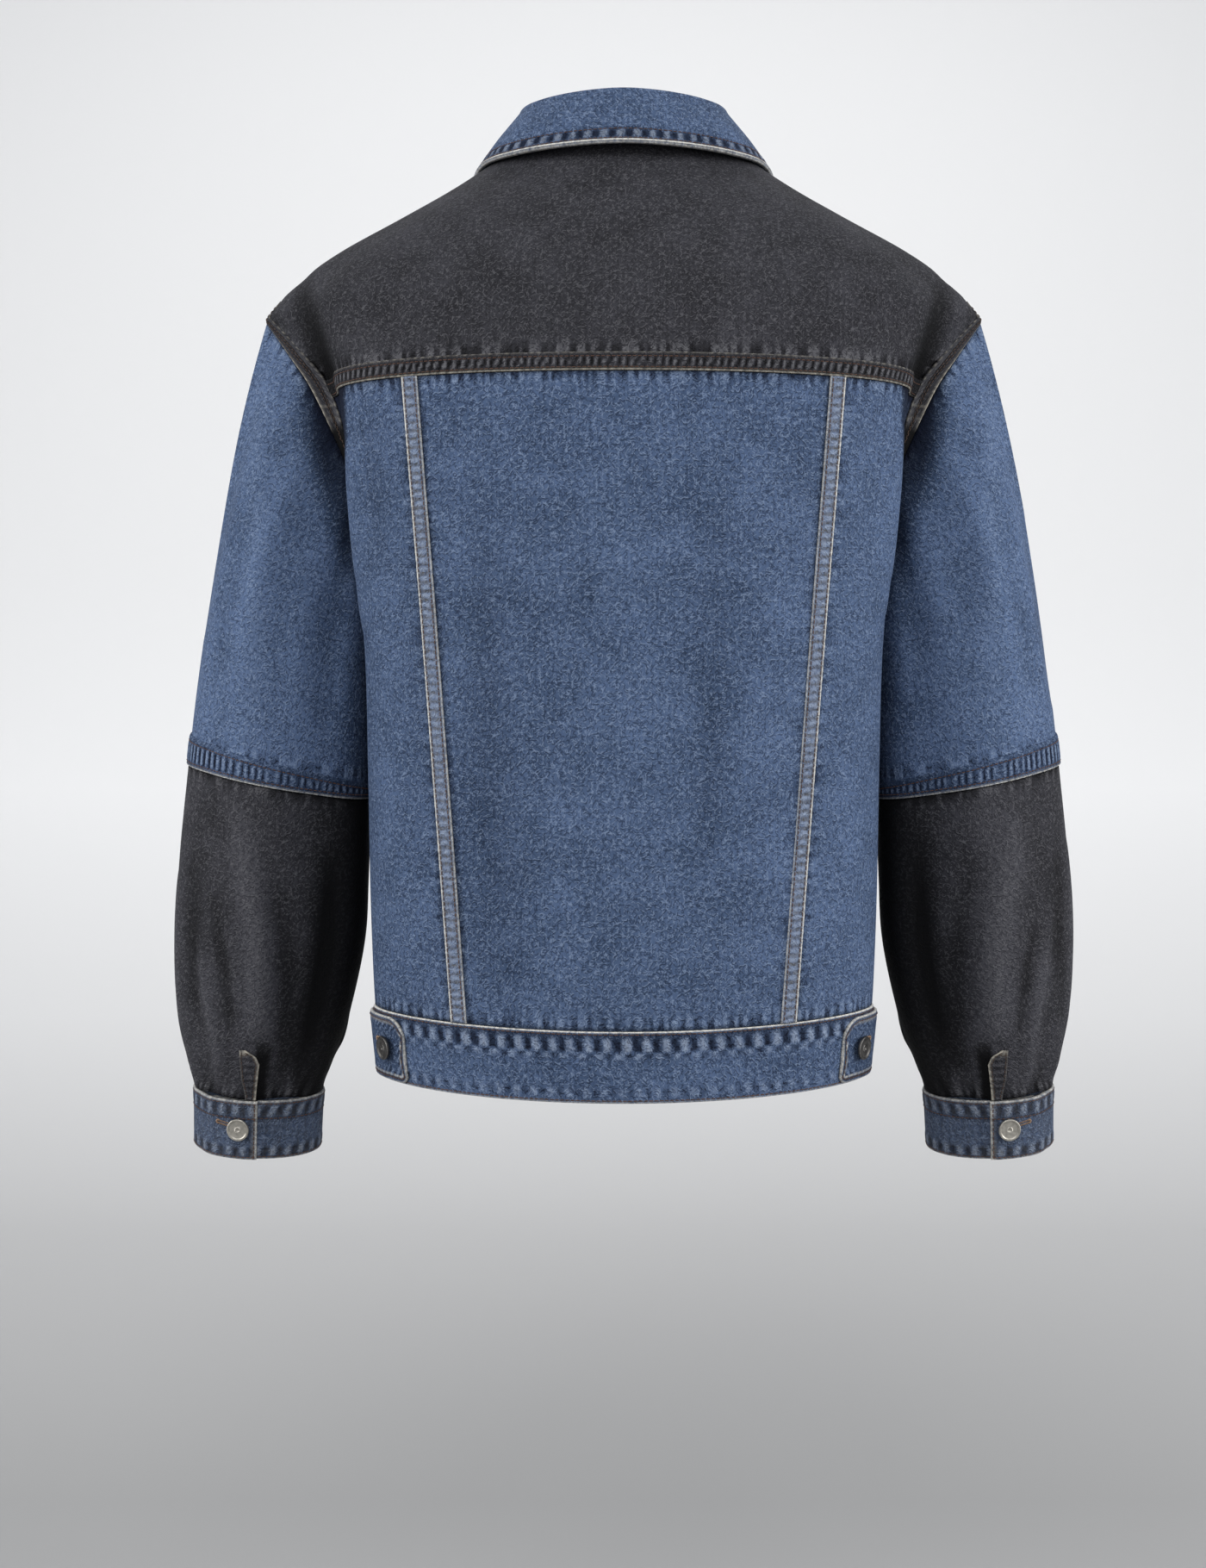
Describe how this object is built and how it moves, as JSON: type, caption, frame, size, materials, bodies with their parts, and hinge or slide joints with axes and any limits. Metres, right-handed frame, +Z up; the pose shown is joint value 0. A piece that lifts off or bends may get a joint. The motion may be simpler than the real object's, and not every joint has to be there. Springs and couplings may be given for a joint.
{
  "type": "denim jacket",
  "caption": "Loose two-tone denim trucker jacket in its worn, hollow form: charcoal yoke and lower sleeves, blue body, turned-down collar, lapped cuffs, waistband with side tabs.",
  "frame": {"origin": "middle of the neck opening, level with the back neck seam, where the wearer's shoulders carry the jacket", "axes": "+Z up; the front faces -Y and the back +Y; +X is the wearer's left"},
  "size_m": [0.6436, 0.2861, 0.7418],
  "materials": {
    "blue_denim": "washed indigo denim with a fine crinkled surface",
    "charcoal_denim": "washed black denim with a fine crinkled surface",
    "brushed_button": "brushed pewter"
  },
  "bodies": {
    "root": {"armhole_seam_left": "charcoal_denim", "armhole_seam_right": "charcoal_denim", "back_middle": "blue_denim", "back_seam_left": "blue_denim", "back_seam_right": "blue_denim", "back_side_left": "blue_denim", "back_side_right": "blue_denim", "back_yoke": "charcoal_denim", "back_yoke_seam": "charcoal_denim", "button_band_left": "blue_denim", "button_band_right": "blue_denim", "collar": "blue_denim", "cuff_button_left": "brushed_button", "cuff_button_right": "brushed_button", "cuff_left": "blue_denim", "cuff_right": "blue_denim", "elbow_seam_left": "blue_denim", "elbow_seam_right": "blue_denim", "front_button_1": "brushed_button", "front_button_2": "brushed_button", "front_button_3": "brushed_button", "front_button_4": "brushed_button", "front_button_5": "brushed_button", "front_left": "blue_denim", "front_right": "blue_denim", "front_yoke_left": "charcoal_denim", "front_yoke_right": "charcoal_denim", "front_yoke_seam_left": "charcoal_denim", "front_yoke_seam_right": "charcoal_denim", "sleeve_lower_left": "charcoal_denim", "sleeve_lower_right": "charcoal_denim", "sleeve_placket_left": "charcoal_denim", "sleeve_placket_right": "charcoal_denim", "sleeve_upper_left": "blue_denim", "sleeve_upper_right": "blue_denim", "tab_button_left": "brushed_button", "tab_button_right": "brushed_button", "waist_button": "brushed_button", "waist_tab_left": "blue_denim", "waist_tab_right": "blue_denim", "waistband": "blue_denim"}
  },
  "joints": []
}
